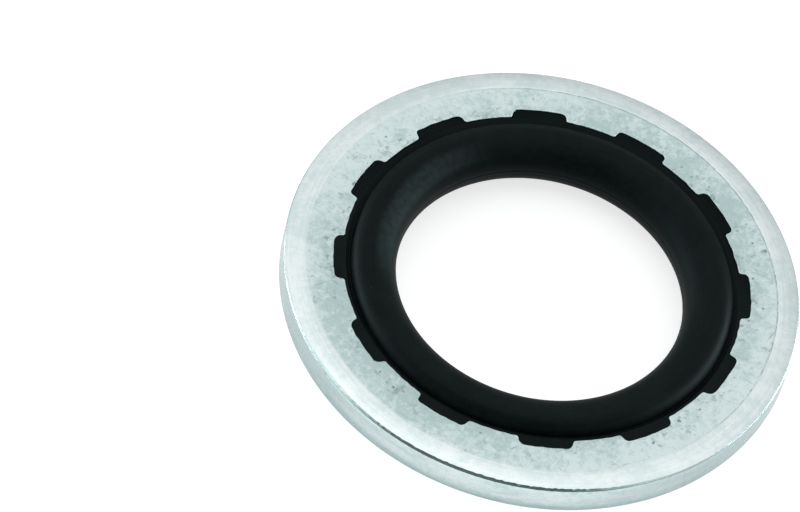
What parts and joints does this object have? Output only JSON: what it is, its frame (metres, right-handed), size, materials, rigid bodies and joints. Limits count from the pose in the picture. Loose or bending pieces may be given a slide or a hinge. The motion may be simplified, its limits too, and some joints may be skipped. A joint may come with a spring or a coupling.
{
  "type": "bonded sealing washer",
  "caption": "Flat metal washer with a rubber sealing bead moulded into its notched bore, which seals the face of a fluid fitting round a bolt.",
  "frame": {"origin": "on the bore axis, in the plane that the lower bead rests on", "axes": "+Z along the bore axis; a notch centre lies 12 degrees from +X, turning towards +Y"},
  "size_m": [0.0222, 0.0222, 0.0024],
  "materials": {
    "ring_metal": "matte tumbled faces with fine dark specks and scuffs, smoother brighter band at the rim",
    "seal_rubber": "moulded satin"
  },
  "bodies": {
    "root": {"metal_ring": "ring_metal", "rubber_seal": "seal_rubber"}
  },
  "joints": []
}
